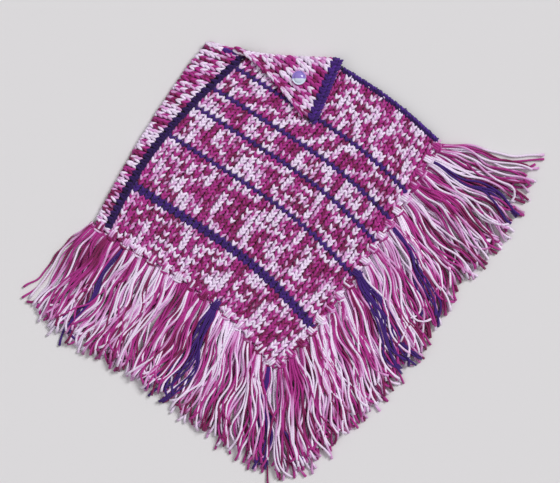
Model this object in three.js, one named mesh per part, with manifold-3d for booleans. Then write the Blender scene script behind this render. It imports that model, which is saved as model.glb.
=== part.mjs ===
// Child's knitted poncho, laid flat on its back on a table.
// Millimetres, +Z up. X runs along the longest side, Z = 0 is the table. The origin is the
// middle of the whole outline, fringe included, on the table.
//
// Two oblong panels make it. The front panel lies on the back panel. The back panel folds round
// at the left, so its short end shows in front and meets the front panel's long side at the seam.
// At the neck a lapel turns over from behind on to the front, where a button holds it. Tassels
// are knotted along both lower hems, and their knots make a narrow strip beside each hem.

import * as THREE from 'three';
import { mergeVertices } from 'three/addons/utils/BufferGeometryUtils.js';
import Module from 'manifold-3d';

// Cloth
const CLOTH = 4.0; // thickness of the knitted cloth
const HALF = CLOTH / 2;
const GAP = 0.3; // between pieces that touch
const LAYER = CLOTH + GAP; // from one layer's underside to the next one's
const EDGE = HALF + 0.3; // a sheet's middle line stops this far inside its outline
const THIN_EDGE = 0.35; // of the cloth's thickness, where a sheet's rounded end closes

// Corners of the garment, from above
const HEM_POINT = [-12, -137]; // the lowest point, where both hems meet
const RIGHT_CORNER = [201, 156]; // top of the right hem
const COLLAR_CORNER = [79, 249]; // where the shoulder edge meets the lapel
const SEAM_TOP = [-50, 264.5]; // under the lapel
const NECK_CORNER = [-72, 277]; // of the back layer
const FOLD_TOP = [-101, 285];
const FOLD_HEM = [-245, 51];
const SEAM_IN_HEM = 0.073; // where along the left hem the seam ends

// How far an edge bows out from the straight line between its corners, and where it is widest
const LEFT_HEM_BOW = { out: -17, widest: 0.6 };
const RIGHT_HEM_BOW = { out: 14, widest: 0.4 };
const SHOULDER_BOW = { out: -5, widest: 0.5 };
const FOLD_BOW = { out: -6, widest: 0.5 };
const SEAM_BOW = { out: -18, widest: 0.47 };

// Low swells where the front panel doesn't lie quite flat
const SWELLS = [
  { x: -70, y: 150, reach: 46, height: 1.4 },
  { x: 20, y: 165, reach: 40, height: 1.2 },
  { x: 105, y: 120, reach: 52, height: 1.8 },
  { x: -95, y: 30, reach: 44, height: 1.6 },
  { x: 20, y: 45, reach: 50, height: 1.2 },
  { x: -15, y: -60, reach: 38, height: 1.5 },
];

// Lapel
const LAPEL_FOLD_LEFT = [-68, 276];
const LAPEL_FOLD_RIGHT = [75, 262];
const LAPEL_TIP_LEFT = [26, 184];
const LAPEL_TIP_RIGHT = [39, 176];
const LAPEL_FOLD_BOW = { out: 4, widest: 0.35 };
const LAPEL_SIDE_BOW = { out: -8, widest: 0.4 };
const LAPEL_LEG = 5; // what lies under the front panel, before the back panel begins

// Button
const BUTTON_PLACE = [20, 236];
const BUTTON = { radius: 9, edge: 0.8, rim: 2.4, rise: 2.6, shank: 2.4, stand: 1.2, sides: 24 };
const BUTTON_DOME = { out: 0.6, up: 0.7 }; // a point on the dome, in shares of radius and rise

// Fringe
const TASSEL_PITCH = 20;
const KNOTS = { width: 5, height: 7, bulge: 1.4, shoulder: 1.3, root: 0.45 }; // root: share of width
const STRAND = { root: 1.5, tip: 1.2, clear: 0.45, rise: 4.2, fall: 0.15 };
const STRAND_STEPS = { rings: 5, between: 4 };
const LENGTH_SPREAD = 0.07; // strands differ by this share of their length
const WAVE = { swing: 7, turns: 1.3, drift: 2.2 }; // degrees, turns on a strand and along a hem
const LEFT_STRANDS = 66;
const RIGHT_STRANDS = 80;

// A row for each place along a hem: heading of a strand at its knot and at its end, in degrees
// anticlockwise from +X, and its length
const LEFT_FRINGE = [
  { at: 0.0, start: 222, end: 231, length: 142 },
  { at: 0.2, start: 244, end: 236, length: 146 },
  { at: 0.6, start: 247, end: 236, length: 142 },
  { at: 0.8, start: 256, end: 250, length: 146 },
  { at: 1.0, start: 269, end: 268, length: 146 },
];
const RIGHT_FRINGE = [
  { at: 0.0, start: 273, end: 272, length: 146 },
  { at: 0.15, start: 285, end: 284, length: 140 },
  { at: 0.35, start: 288, end: 292, length: 142 },
  { at: 0.5, start: 296, end: 290, length: 140 },
  { at: 0.7, start: 306, end: 296, length: 144 },
  { at: 0.85, start: 317, end: 311, length: 142 },
  { at: 0.95, start: 334, end: 322, length: 140 },
  { at: 1.0, start: 354, end: 347, length: 134 },
];

const wasm = await Module();
wasm.setup();

// Plane geometry

const UP = [0, 0, 1];
const DOWN = [0, 0, -1];
const TINY = 1e-9;
const CROWDED = 0.4; // a stop this near to a corner, in shares of a step, gives way to it

const mix = (a, b, k) => a.map((v, i) => v + (b[i] - v) * k);
const distance = (a, b) => Math.hypot(...a.map((v, i) => v - b[i]));
const wayFrom = (a, b) => a.map((v, i) => (b[i] - v) / distance(a, b));
const moved = (p, way, by) => p.map((v, i) => v + way[i] * by);
const smooth = (k) => k * k * (3 - 2 * k);
const straight = (a, b) => (k) => mix(a, b, k);
const stretch = (curve, from, to) => (k) => curve(from + (to - from) * k);

/** A curve from a to b that bows out to the right of the way from a to b. */
function bowed(a, b, { out, widest }) {
  const way = wayFrom(a, b);
  const power = Math.log(0.5) / Math.log(widest);
  return (k) => moved(mix(a, b, k), [way[1], -way[0]], out * Math.sin(Math.PI * k ** power));
}

/** One curve from several, and the shares of its length at which they meet. */
function joined(...curves) {
  const lengths = curves.map((curve) => distance(curve(0), curve(1)));
  const ends = lengths.map((_, i) => lengths.slice(0, i + 1).reduce((sum, v) => sum + v, 0));
  const whole = ends[ends.length - 1];
  const curve = (k) => {
    const past = ends.filter((end) => end < k * whole - TINY).length;
    const i = Math.min(past, curves.length - 1);
    return curves[i](Math.min((k * whole - ends[i] + lengths[i]) / lengths[i], 1));
  };
  return { curve, corners: ends.slice(0, -1).map((end) => end / whole) };
}

/** Even stops from 0 to 1, with a stop at each corner in place of the nearest ones. */
function stops(count, corners) {
  const even = Array.from({ length: count + 1 }, (_, i) => i / count);
  const free = even.filter((k) => corners.every((corner) => Math.abs(k - corner) > CROWDED / count));
  return [...free, ...corners].sort((a, b) => a - b);
}

/** Fills in a patch between four edges, pulled in from each by a distance. */
function patch({ left, right, hem, top }, pull) {
  const corner = [hem(0), hem(1), top(0), top(1)];
  const filled = (x, y) => [0, 1].map((i) => (
    hem(x)[i] * (1 - y) + top(x)[i] * y + left(y)[i] * (1 - x) + right(y)[i] * x
    - (corner[0][i] * (1 - x) + corner[1][i] * x) * (1 - y)
    - (corner[2][i] * (1 - x) + corner[3][i] * x) * y
  ));
  return (x, y) => {
    const wide = distance(left(y), right(y));
    const long = distance(hem(x), top(x));
    return filled(
      (pull.left + x * (wide - pull.left - pull.right)) / wide,
      (pull.hem + y * (long - pull.hem - pull.top)) / long,
    );
  };
}

// Closed meshes

/**
 * A closed mesh from rings of points. Every ring has the same even count, and a point and its
 * mirror image, counted from the other end, lie across the ring from each other.
 */
function lofted(rings) {
  const count = rings[0].length;
  const faces = [];
  for (let i = 0; i < rings.length - 1; i += 1) {
    for (let j = 0; j < count; j += 1) {
      const next = (j + 1) % count;
      const [a, b, c, d] = [i * count + j, i * count + next, (i + 1) * count + next, (i + 1) * count + j];
      faces.push(a, b, c, a, c, d);
    }
  }
  const cap = (start, turned) => {
    const face = (...corners) => faces.push(...(turned ? corners.reverse() : corners).map((v) => start + v));
    face(0, count - 1, 1);
    for (let j = 1; j < count / 2 - 1; j += 1) {
      face(j, count - j, j + 1);
      face(j + 1, count - j, count - j - 1);
    }
    face(count / 2 - 1, count / 2 + 1, count / 2);
  };
  cap(0, false);
  cap((rings.length - 1) * count, true);
  const geometry = new THREE.BufferGeometry();
  geometry.setAttribute('position', new THREE.Float32BufferAttribute(rings.flat(2), 3));
  geometry.setIndex(faces);
  return geometry;
}

/** The volume that a closed mesh holds, negative if it is inside out. */
function volume({ attributes, index }) {
  const corners = [new THREE.Vector3(), new THREE.Vector3(), new THREE.Vector3()];
  let sum = 0;
  for (let i = 0; i < index.count; i += 3) {
    corners.forEach((v, k) => v.fromBufferAttribute(attributes.position, index.getX(i + k)));
    sum += corners[0].dot(corners[1].clone().cross(corners[2])) / 6;
  }
  return sum;
}

/** The mesh with its doubles merged and its faces pointing out. */
function cleaned(geometry) {
  const bare = new THREE.BufferGeometry();
  bare.setAttribute('position', geometry.attributes.position);
  bare.setIndex(geometry.index);
  const merged = mergeVertices(bare);
  if (volume(merged) < 0) merged.setIndex([...merged.index.array].reverse());
  return merged;
}

/** The outline of cloth round its middle line: each point of that says which way is up. */
function clothRing(line, half) {
  const side = (way) => line.map(({ at, up }) => moved(at, up, half * way));
  const nose = (end, inner) => moved(end.at, wayFrom(inner.at, end.at), HALF);
  const last = line.length - 1;
  return [nose(line[0], line[1]), ...side(1), nose(line[last], line[last - 1]), ...side(-1).reverse()];
}

/** A closed sheet from its middle lines. Its first and last lines get a rounded edge. */
function sheet(lines) {
  const rings = lines.map((line) => clothRing(line, HALF));
  const rounded = (line, inner) => {
    const thin = clothRing(line, HALF * THIN_EDGE);
    const lower = clothRing(inner, HALF * THIN_EDGE);
    return thin.map((p, i) => moved(p, wayFrom(lower[i], p), HALF));
  };
  const last = lines.length - 1;
  return lofted([rounded(lines[0], lines[1]), ...rings, rounded(lines[last], lines[last - 1])]);
}


// Edges that the pieces share

const leftHem = bowed(FOLD_HEM, HEM_POINT, LEFT_HEM_BOW);
const rightHem = bowed(HEM_POINT, RIGHT_CORNER, RIGHT_HEM_BOW);
const shoulder = bowed(COLLAR_CORNER, RIGHT_CORNER, SHOULDER_BOW);
const foldEdge = bowed(FOLD_HEM, FOLD_TOP, FOLD_BOW);
const seam = bowed(leftHem(SEAM_IN_HEM), SEAM_TOP, SEAM_BOW);
const seamLength = distance(seam(0), seam(1));
const seamInside = (k) => seam((EDGE + k * (seamLength - EDGE * 2)) / seamLength);
const lapelFold = bowed(LAPEL_FOLD_LEFT, LAPEL_FOLD_RIGHT, LAPEL_FOLD_BOW);

const foldWay = wayFrom(LAPEL_FOLD_LEFT, LAPEL_FOLD_RIGHT);
const lapelDown = [foldWay[1], -foldWay[0]];

/** The neck edge of a panel: from its corner, then at a distance inside shares of the lapel's fold. */
function neckEdge(start, shares, inside) {
  const edge = shares.map((k) => moved(lapelFold(k), lapelDown, inside));
  const corners = [start, ...edge, COLLAR_CORNER];
  return corners.slice(1).map((corner, i) => straight(corners[i], corner));
}

/** How far the front panel lifts off the back panel. */
function lift([x, y]) {
  return SWELLS.reduce((sum, swell) => {
    const away = Math.hypot(x - swell.x, y - swell.y) / swell.reach;
    return sum + swell.height * Math.exp(-away * away);
  }, 0);
}

// The lapel's roll is round the front panel's edge, with GAP on either side of it
const ROLL_RADIUS = LAYER; // of the cloth's middle line
const ROLL_OUTER = ROLL_RADIUS + HALF;

// Front panel

const FRONT_GRID = { across: 14, along: 14 };

const frontNeck = neckEdge(SEAM_TOP, [LAPEL_FOLD_BOW.widest, 1], CLOTH + GAP * 2);
const frontTop = joined(...frontNeck, shoulder);
const frontPlace = patch(
  { left: seam, right: rightHem, hem: stretch(leftHem, SEAM_IN_HEM, 1), top: frontTop.curve },
  { left: EDGE + GAP, right: EDGE, hem: EDGE, top: EDGE },
);

function frontPanel() {
  const across = stops(FRONT_GRID.across, frontTop.corners);
  return sheet(stops(FRONT_GRID.along, []).map((y) => across.map((x) => {
    const place = frontPlace(x, y);
    return { at: [...place, LAYER + HALF + lift(place)], up: UP };
  })));
}

// Back panel

const BACK_GRID = { across: 11, along: 14, fold: 6, strip: 2 };
const FOLD_RADIUS = LAYER / 2; // of the cloth's middle line

const backNeck = neckEdge(NECK_CORNER, [0, LAPEL_FOLD_BOW.widest, 1], ROLL_OUTER + LAPEL_LEG + GAP);
const backTop = joined(straight(FOLD_TOP, NECK_CORNER), ...backNeck, shoulder);
const backPlace = patch(
  { left: foldEdge, right: rightHem, hem: leftHem, top: backTop.curve },
  { left: FOLD_RADIUS + HALF, right: EDGE, hem: EDGE, top: EDGE },
);

/** The cloth's middle line from the right hem, under the front panel, round the fold and to the seam. */
function backLine(across, along) {
  const under = [...across].reverse().map((x) => ({ at: [...backPlace(x, along), HALF], up: DOWN }));
  const axis = backPlace(0, along);
  const seamAt = seamInside(along);
  const inward = wayFrom(axis, seamAt);
  const line = [...under];
  for (let i = 1; i <= BACK_GRID.fold; i += 1) {
    const turn = (Math.PI * i) / BACK_GRID.fold;
    const [c, s] = [Math.cos(turn), Math.sin(turn)];
    const place = moved(axis, inward, -FOLD_RADIUS * s);
    line.push({ at: [...place, HALF + FOLD_RADIUS * (1 - c)], up: [-inward[0] * s, -inward[1] * s, -c] });
  }
  const length = distance(axis, seamAt) - EDGE;
  for (let i = 1; i <= BACK_GRID.strip; i += 1) {
    const place = moved(axis, inward, (length * i) / BACK_GRID.strip);
    line.push({ at: [...place, HALF + LAYER], up: UP });
  }
  return line;
}

function backPanel() {
  const across = stops(BACK_GRID.across, backTop.corners);
  return sheet(stops(BACK_GRID.along, []).map((y) => backLine(across, y)));
}

// Lapel

const LAPEL_GRID = { across: 8, along: 7, roll: 6 };
const lapelPlace = patch(
  {
    left: bowed(LAPEL_FOLD_LEFT, LAPEL_TIP_LEFT, LAPEL_SIDE_BOW),
    right: straight(LAPEL_FOLD_RIGHT, LAPEL_TIP_RIGHT),
    hem: lapelFold,
    top: straight(LAPEL_TIP_LEFT, LAPEL_TIP_RIGHT),
  },
  { left: EDGE, right: EDGE, hem: ROLL_OUTER, top: EDGE },
);
const lapelTop = (place) => LAYER * 2 + HALF + lift(place);

/** The lapel's middle line from under the front panel, round the neck edge and down to its tip. */
function lapelLine(x) {
  const axis = lapelPlace(x, 0);
  const rise = (lapelTop(axis) - HALF) / 2;
  const line = [{ at: [...moved(axis, lapelDown, LAPEL_LEG - HALF), HALF], up: DOWN }];
  for (let i = 0; i <= LAPEL_GRID.roll; i += 1) {
    const turn = (Math.PI * i) / LAPEL_GRID.roll;
    const [c, s] = [Math.cos(turn), Math.sin(turn)];
    const place = moved(axis, lapelDown, -ROLL_RADIUS * s);
    line.push({ at: [...place, HALF + rise * (1 - c)], up: [-lapelDown[0] * s, -lapelDown[1] * s, -c] });
  }
  for (let i = 1; i <= LAPEL_GRID.along; i += 1) {
    const place = lapelPlace(x, i / LAPEL_GRID.along);
    line.push({ at: [...place, lapelTop(place)], up: UP });
  }
  return line;
}

const collarFlap = () => sheet(stops(LAPEL_GRID.across, []).map(lapelLine));

// Button

function button() {
  const { radius, edge, rim, rise, shank, stand, sides } = BUTTON;
  const profile = [
    [0, 0],
    [shank, 0],
    [shank, stand],
    [radius - edge, stand],
    [radius, stand + edge],
    [radius, stand + rim - edge],
    [radius - edge, stand + rim],
    [radius * BUTTON_DOME.out, stand + rim + rise * BUTTON_DOME.up],
    [0, stand + rim + rise],
  ].map(([r, z]) => new THREE.Vector2(r, z));
  const geometry = new THREE.LatheGeometry(profile, sides);
  geometry.rotateX(Math.PI / 2);
  const bottom = Math.max(...[-shank, 0, shank].map((d) => lapelTop(moved(BUTTON_PLACE, [1, 0], d))));
  return geometry.translate(...BUTTON_PLACE, bottom + HALF + GAP);
}

// Fringe

/** A hem moved outwards by a distance. */
function beside(hem, by) {
  const step = 0.01;
  return (k) => {
    const way = wayFrom(hem(Math.max(0, k - step)), hem(Math.min(1, k + step)));
    return moved(hem(k), [way[1], -way[0]], by);
  };
}

/** What a table says at a place between its rows. */
function reading(table, at) {
  const next = Math.max(1, table.findIndex((row) => row.at >= at));
  const [low, high] = [table[next - 1], table[next]];
  const k = smooth((at - low.at) / (high.at - low.at));
  const between = (name) => low[name] + (high[name] - low[name]) * k;
  return { start: between('start'), end: between('end'), length: between('length') };
}

/** Shares from 0 to 1 that look uneven from one strand to the next. */
const uneven = (i) => (i * 0.618034) % 1;

/** A strand of square section that leaves the knots, drops to the table and ends just above it. */
function strand(root, { start, end, length }, phase) {
  const { rings: count, between } = STRAND_STEPS;
  const walk = count * between;
  const rings = [];
  let at = root;
  for (let i = 0; i <= walk; i += 1) {
    const k = i / walk;
    const swing = WAVE.swing * k * Math.sin(2 * Math.PI * (WAVE.turns * k + phase));
    const heading = THREE.MathUtils.degToRad(start + (end - start) * smooth(k) + swing);
    const way = [Math.cos(heading), Math.sin(heading)];
    if (i % between === 0) {
      const half = STRAND.root + (STRAND.tip - STRAND.root) * k;
      const lying = STRAND.clear + half;
      const z = lying + (STRAND.rise - lying) * Math.exp(-k / STRAND.fall);
      const [left, right] = [-half, half].map((by) => moved(at, [way[1], -way[0]], by));
      rings.push([[...left, z - half], [...right, z - half], [...right, z + half], [...left, z + half]]);
    }
    at = moved(at, way, length / walk);
  }
  return lofted(rings);
}

/** The strip of knots beside a hem, fuller at each knot. */
function knotStrip(hem) {
  const knots = Math.round(distance(hem(0), hem(1)) / TASSEL_PITCH);
  const rings = stops(knots * 2, []).map((k) => {
    const lean = KNOTS.bulge * (0.5 + 0.5 * Math.cos(2 * Math.PI * knots * k));
    const [inner, outer] = [GAP, GAP + KNOTS.width - lean].map((by) => beside(hem, by)(k));
    const [low, high] = [STRAND.clear, STRAND.clear + KNOTS.height - lean];
    const middle = mix(inner, outer, 0.5);
    return [
      [...middle, low],
      [...outer, low + KNOTS.shoulder],
      [...outer, high - KNOTS.shoulder],
      [...middle, high],
      [...inner, high - KNOTS.shoulder],
      [...inner, low + KNOTS.shoulder],
    ];
  });
  return lofted(rings);
}

function solidOf(geometry) {
  const { attributes, index } = cleaned(geometry);
  return new wasm.Manifold(new wasm.Mesh({
    numProp: 3,
    vertProperties: new Float32Array(attributes.position.array),
    triVerts: new Uint32Array(index.array),
  }));
}

function geometryOf(solid) {
  const { vertProperties, triVerts } = solid.getMesh();
  const geometry = new THREE.BufferGeometry();
  geometry.setAttribute('position', new THREE.BufferAttribute(new Float32Array(vertProperties), 3));
  geometry.setIndex(new THREE.BufferAttribute(new Uint32Array(triVerts), 1));
  return geometry;
}

function fringe(hem, table, strands) {
  let solid = solidOf(knotStrip(hem));
  const roots = beside(hem, GAP + KNOTS.width * KNOTS.root);
  for (let i = 0; i < strands; i += 1) {
    const k = (i + 0.5) / strands;
    const row = reading(table, k);
    const length = row.length * (1 + LENGTH_SPREAD * (2 * uneven(i) - 1));
    solid = solid.add(solidOf(strand(roots(k), { ...row, length }, WAVE.drift * k)));
  }
  return geometryOf(solid);
}

// Materials

const paint = (color, roughness) => new THREE.MeshStandardMaterial({ color, roughness, metalness: 0 });
const KNIT = paint(0xc080a8, 0.9);
const KNIT_BACK = paint(0xb86f9c, 0.9);
const LAPEL_KNIT = paint(0xcf92b4, 0.9);
const YARN = paint(0xd9a9c6, 0.9);
const BUTTON_PLASTIC = paint(0xa48fd6, 0.35);

function piece(name, geometry, material) {
  const mesh = new THREE.Mesh(cleaned(geometry), material);
  mesh.name = name;
  return mesh;
}

const poncho = new THREE.Group();
poncho.add(
  piece('back_panel', backPanel(), KNIT_BACK),
  piece('front_panel', frontPanel(), KNIT),
  piece('collar_flap', collarFlap(), LAPEL_KNIT),
  piece('button', button(), BUTTON_PLASTIC),
  piece('fringe_left', fringe(leftHem, LEFT_FRINGE, LEFT_STRANDS), YARN),
  piece('fringe_right', fringe(rightHem, RIGHT_FRINGE, RIGHT_STRANDS), YARN),
);

export default poncho;
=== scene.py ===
"""The looks of a child's knitted poncho, laid flat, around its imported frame.

Sizes are in millimetres, and meshes are written in metres. X runs along the longest side, Y from
the hem point to the neck, and Z = 0 is what the poncho lies on. The knitting is real: every stitch
that shows is two legs of yarn, and every strand of the fringe is a tube that lies on those below it.
"""

import math

import bmesh
import bpy
import numpy as np
from bpy.props import FloatProperty, FloatVectorProperty, IntProperty, PointerProperty
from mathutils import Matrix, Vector


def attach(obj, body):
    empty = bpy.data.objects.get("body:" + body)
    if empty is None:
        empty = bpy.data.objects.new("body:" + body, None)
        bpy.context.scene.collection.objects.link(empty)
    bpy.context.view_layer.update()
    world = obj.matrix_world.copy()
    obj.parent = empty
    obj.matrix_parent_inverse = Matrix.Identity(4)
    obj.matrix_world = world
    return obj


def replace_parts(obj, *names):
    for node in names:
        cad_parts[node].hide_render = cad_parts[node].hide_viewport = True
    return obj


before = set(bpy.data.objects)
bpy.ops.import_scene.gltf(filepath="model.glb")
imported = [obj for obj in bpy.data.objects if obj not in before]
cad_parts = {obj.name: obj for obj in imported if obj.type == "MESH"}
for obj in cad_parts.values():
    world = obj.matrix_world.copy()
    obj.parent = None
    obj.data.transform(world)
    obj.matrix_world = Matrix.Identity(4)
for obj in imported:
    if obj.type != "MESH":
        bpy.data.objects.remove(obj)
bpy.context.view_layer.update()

bl_info = {
    "name": "Knitted Poncho",
    "version": (1, 0, 0),
    "blender": (4, 5, 0),
    "location": "3D View > Sidebar > Poncho",
    "description": "Builds a child's knitted poncho with a fringe, laid flat",
    "category": "Object",
}

MM = 0.001  # a millimetre, in metres
TAU = 2 * math.pi
TINY = 1e-9

# Cloth
CLOTH = 4.0  # thickness of the knitted cloth
HALF = CLOTH / 2
GAP = 0.3  # between layers
LAYER = CLOTH + GAP
EDGE = HALF + GAP  # a wall's middle line stops this far inside its outline
WALL_IN = HALF - GAP  # from a wall's middle to its inner face
WALL_OUT = 0.4  # from a wall's middle to the face that carries stitches

# Corners of the garment, from above
HEM_POINT = (-12, -137)
RIGHT_CORNER = (201, 156)
COLLAR_CORNER = (79, 249)
SEAM_TOP = (-50, 264.5)  # under the lapel
NECK_CORNER = (-72, 277)  # of the back layer
FOLD_TOP = (-101, 285)
FOLD_HEM = (-245, 51)
SEAM_IN_HEM = 0.073  # where along the left hem the seam ends
GRID_CORNER = (-20, 311)  # where the front panel's knitting would end if the neck weren't open

# Low swells where the front panel doesn't lie quite flat
SWELLS = [
    {"x": -70, "y": 150, "reach": 46, "height": 1.4},
    {"x": 20, "y": 165, "reach": 40, "height": 1.2},
    {"x": 105, "y": 120, "reach": 52, "height": 1.8},
    {"x": -95, "y": 30, "reach": 44, "height": 1.6},
    {"x": 20, "y": 45, "reach": 50, "height": 1.2},
    {"x": -15, "y": -60, "reach": 38, "height": 1.5},
]

# Lapel
LAPEL_FOLD_LEFT = (-68, 276)
LAPEL_FOLD_RIGHT = (75, 262)
LAPEL_TIP_LEFT = (26, 184)
LAPEL_TIP_RIGHT = (39, 176)
LAPEL_LEG = 5
ROLL_RADIUS = LAYER
ROLL_OUTER = ROLL_RADIUS + HALF
LAPEL_ROW = (0.75, -0.66)  # the way from one row to the next: to the bound-off edge
LAPEL_COLUMN_WIDTH = 9.2
LAPEL_ROW_PITCH = 7.4

LAPEL_PATCHES = [  # x, y, reach and dye of what shows as a patch of one colour
    (66, 258, 16, "white"), (44, 261, 10, "pale_pink"), (30, 264, 9, "white"), (10, 262, 10, "magenta"),
    (-10, 262, 10, "pale_pink"), (-50, 266, 12, "wine"), (-30, 260, 9, "wine"), (2, 240, 9, "white"), (22, 216, 12, "pale_pink"),
    (34, 200, 9, "white"), (48, 240, 9, "magenta"), (40, 222, 8, "wine"), (-14, 250, 7, "wine"),
]

# Button
BUTTON_PLACE = (20, 236)
BUTTON_RADIUS = 9.0
BUTTON_STAND = 1.2
BUTTON_RIM = 2.4
BUTTON_RISE = 2.6

# Knitting: rows of the front panel in the stripe colour, counted from the hem
STRIPE_ROWS = (11, 12, 26, 35, 41, 48)
SEAM_ROOM = 3.0  # between the seam and the front panel's first column
SEAM_DIP = 2.1  # how deep the seam lies in the cloth
# Painted shade: the purple of each panel's last row and of the seam's chain is darkened for the shade in the
# seam's dip and beside the shoulder's edge.
PURPLE_END_PAINTED_SHADE = 0.5
STRIP_STRETCH = 1.25  # the strip is pulled wide, so its rows are taller

# A leg of a stitch, ring by ring: across in columns, along in rows, height over the skin in mm,
# radius as a share of the yarn's
LEG = [
    {"across": 0.010, "along": -0.72, "height": -1.2, "radius": 0.55},
    {"across": 0.080, "along": -0.36, "height": -0.5, "radius": 0.96},
    {"across": 0.190, "along": 0.04, "height": -0.4, "radius": 1.05},
    {"across": 0.305, "along": 0.42, "height": -1.1, "radius": 0.94},
    {"across": 0.380, "along": 0.80, "height": -2.8, "radius": 0.52},
]
PAINTED_GAP_SHADE = (0.34, 0.17, 0.30)  # painted shade: the cloth behind the stitches is darkened for the little light that reaches it, and reddened for the light thrown in by the yarn around it

# The yarn's own colours along its length, in mm, before they repeat
YARN_RUNS = [
    {"dye": "white", "length": 46},
    {"dye": "pale_pink", "length": 14},
    {"dye": "magenta", "length": 34},
    {"dye": "wine", "length": 20},
    {"dye": "magenta", "length": 16},
    {"dye": "pale_pink", "length": 10},
    {"dye": "white", "length": 34},
    {"dye": "pale_pink", "length": 12},
    {"dye": "magenta", "length": 26},
    {"dye": "wine", "length": 24},
    {"dye": "pale_pink", "length": 12},
]
DYE_BLEED = 5  # a change of colour takes about this long
YARN_IN_STITCH = 27.3
ROW_SLACK = 17.0  # how far the colours of a row are off those of the row below
PATCH_SLACK = 40.0  # how far a patch of stitches is off its row
PATCH_STITCHES = 3
SPECKLE = 0.12  # share of stitches that are off their patch
STRAND_RUN = 2.3  # runs of colour are longer in the fringe's yarn

# Fringe: heading of a strand at its knot and at its end, in degrees anticlockwise from +X, and length
LEFT_FRINGE = [
    {"at": 0.0, "start": 230, "end": 238, "length": 136},
    {"at": 0.12, "start": 240, "end": 236, "length": 145},
    {"at": 0.18, "start": 243, "end": 239, "length": 158},
    {"at": 0.24, "start": 244, "end": 237, "length": 146},
    {"at": 0.6, "start": 247, "end": 236, "length": 144},
    {"at": 0.7, "start": 250, "end": 237, "length": 148},
    {"at": 0.78, "start": 256, "end": 254, "length": 146},
    {"at": 1.0, "start": 269, "end": 268, "length": 148},
]
RIGHT_FRINGE = [
    {"at": 0.0, "start": 273, "end": 272, "length": 148},
    {"at": 0.15, "start": 285, "end": 284, "length": 147},
    {"at": 0.35, "start": 288, "end": 292, "length": 149},
    {"at": 0.5, "start": 296, "end": 290, "length": 145},
    {"at": 0.66, "start": 304, "end": 288, "length": 146},
    {"at": 0.74, "start": 306, "end": 283, "length": 136},
    {"at": 0.79, "start": 319, "end": 317, "length": 138},
    {"at": 0.86, "start": 321, "end": 316, "length": 142},
    {"at": 0.95, "start": 336, "end": 323, "length": 141},
    {"at": 1.0, "start": 357, "end": 341, "length": 136},
]
# Tassels with strands in the stripe colour: where along the hem, and their share of the strands
LEFT_PURPLE = {0.19: 0.4, 0.635: 0.85, 0.98: 0.5}
RIGHT_PURPLE = {0.456: 0.85, 0.67: 0.4, 0.93: 0.35}


# What most strands of the tassels are dyed, by where they are along the hem
LEFT_TONES = [
    (0.0, "wine"), (0.09, "wine"), (0.16, "magenta"), (0.24, "pale_pink"), (0.34, "white"),
    (0.43, "pale_pink"), (0.52, "wine"), (0.58, "magenta"), (0.7, "white"), (0.78, "pale_pink"),
    (0.86, "magenta"), (0.93, "white"), (1.0, "white"),
]
RIGHT_TONES = [
    (0.0, "white"), (0.05, "magenta"), (0.13, "white"), (0.2, "white"), (0.27, "pale_pink"),
    (0.34, "white"), (0.41, "wine"), (0.5, "white"), (0.58, "pale_pink"), (0.66, "magenta"),
    (0.74, "white"), (0.82, "magenta"), (0.9, "white"), (1.0, "magenta"),
]
TONE_SHARE = 0.5


def linear(red, green, blue):
    """A colour of 8-bit screen values as Blender's linear ones."""
    parts = [value / 255 for value in (red, green, blue)]
    return tuple(v / 12.92 if v <= 0.04045 else ((v + 0.055) / 1.055) ** 2.4 for v in parts)


# Settings


class KnitSettings(bpy.types.PropertyGroup):
    """Sizes of the knitting."""

    columns: IntProperty(name="Columns", description="Stitches across a panel", default=33, min=8)
    rows: IntProperty(name="Rows", description="Rows along a panel", default=62, min=8)
    yarn: FloatProperty(
        name="Yarn", description="Thickness of the yarn in a stitch", default=3.9 * MM, unit="LENGTH"
    )
    unevenness: FloatProperty(
        name="Unevenness", description="How far a stitch is off its place", default=0.35 * MM, unit="LENGTH"
    )
    chain_width: FloatProperty(
        name="Edge chain", description="Width of the chain along an edge", default=6.4 * MM, unit="LENGTH"
    )
    chain_pitch: FloatProperty(
        name="Chain loop", description="Length of a loop of an edge chain", default=6.6 * MM, unit="LENGTH"
    )


class FringeSettings(bpy.types.PropertyGroup):
    """Sizes of the fringe."""

    strand: FloatProperty(
        name="Strand", description="Thickness of a strand", default=3.0 * MM, unit="LENGTH"
    )
    pitch: FloatProperty(
        name="Pitch", description="From one tassel to the next", default=19.5 * MM, unit="LENGTH"
    )
    front_strands: IntProperty(
        name="Strands in front", description="Strands of a tassel on the front layer", default=12, min=2
    )
    back_strands: IntProperty(
        name="Strands behind", description="Strands of a tassel on the back layer", default=12, min=2
    )
    spread: FloatProperty(
        name="Spread", description="Angle across a tassel", default=math.radians(26), subtype="ANGLE"
    )
    ragged: FloatProperty(
        name="Ragged", description="Share by which strands differ in length", default=0.06, subtype="FACTOR"
    )


class DyeSettings(bpy.types.PropertyGroup):
    """Colours of the yarn and the button."""

    white: FloatVectorProperty(
        name="White", description="White of the yarn", default=linear(237, 219, 244), subtype="COLOR"
    )
    pale_pink: FloatVectorProperty(
        name="Pale pink", description="Pale pink of the yarn", default=linear(216, 156, 211), subtype="COLOR"
    )
    magenta: FloatVectorProperty(
        name="Magenta", description="Magenta of the yarn", default=linear(172, 46, 136), subtype="COLOR"
    )
    wine: FloatVectorProperty(
        name="Wine", description="Wine red of the yarn", default=linear(126, 24, 84), subtype="COLOR"
    )
    purple: FloatVectorProperty(
        name="Purple", description="Purple of the stripes", default=linear(64, 26, 114), subtype="COLOR"
    )
    button_top: FloatVectorProperty(
        name="Button", description="Lavender of the button", default=linear(150, 126, 208), subtype="COLOR"
    )
    button_foot: FloatVectorProperty(
        name="Button's half", description="Pale half of the button", default=linear(216, 226, 246), subtype="COLOR"
    )


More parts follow.
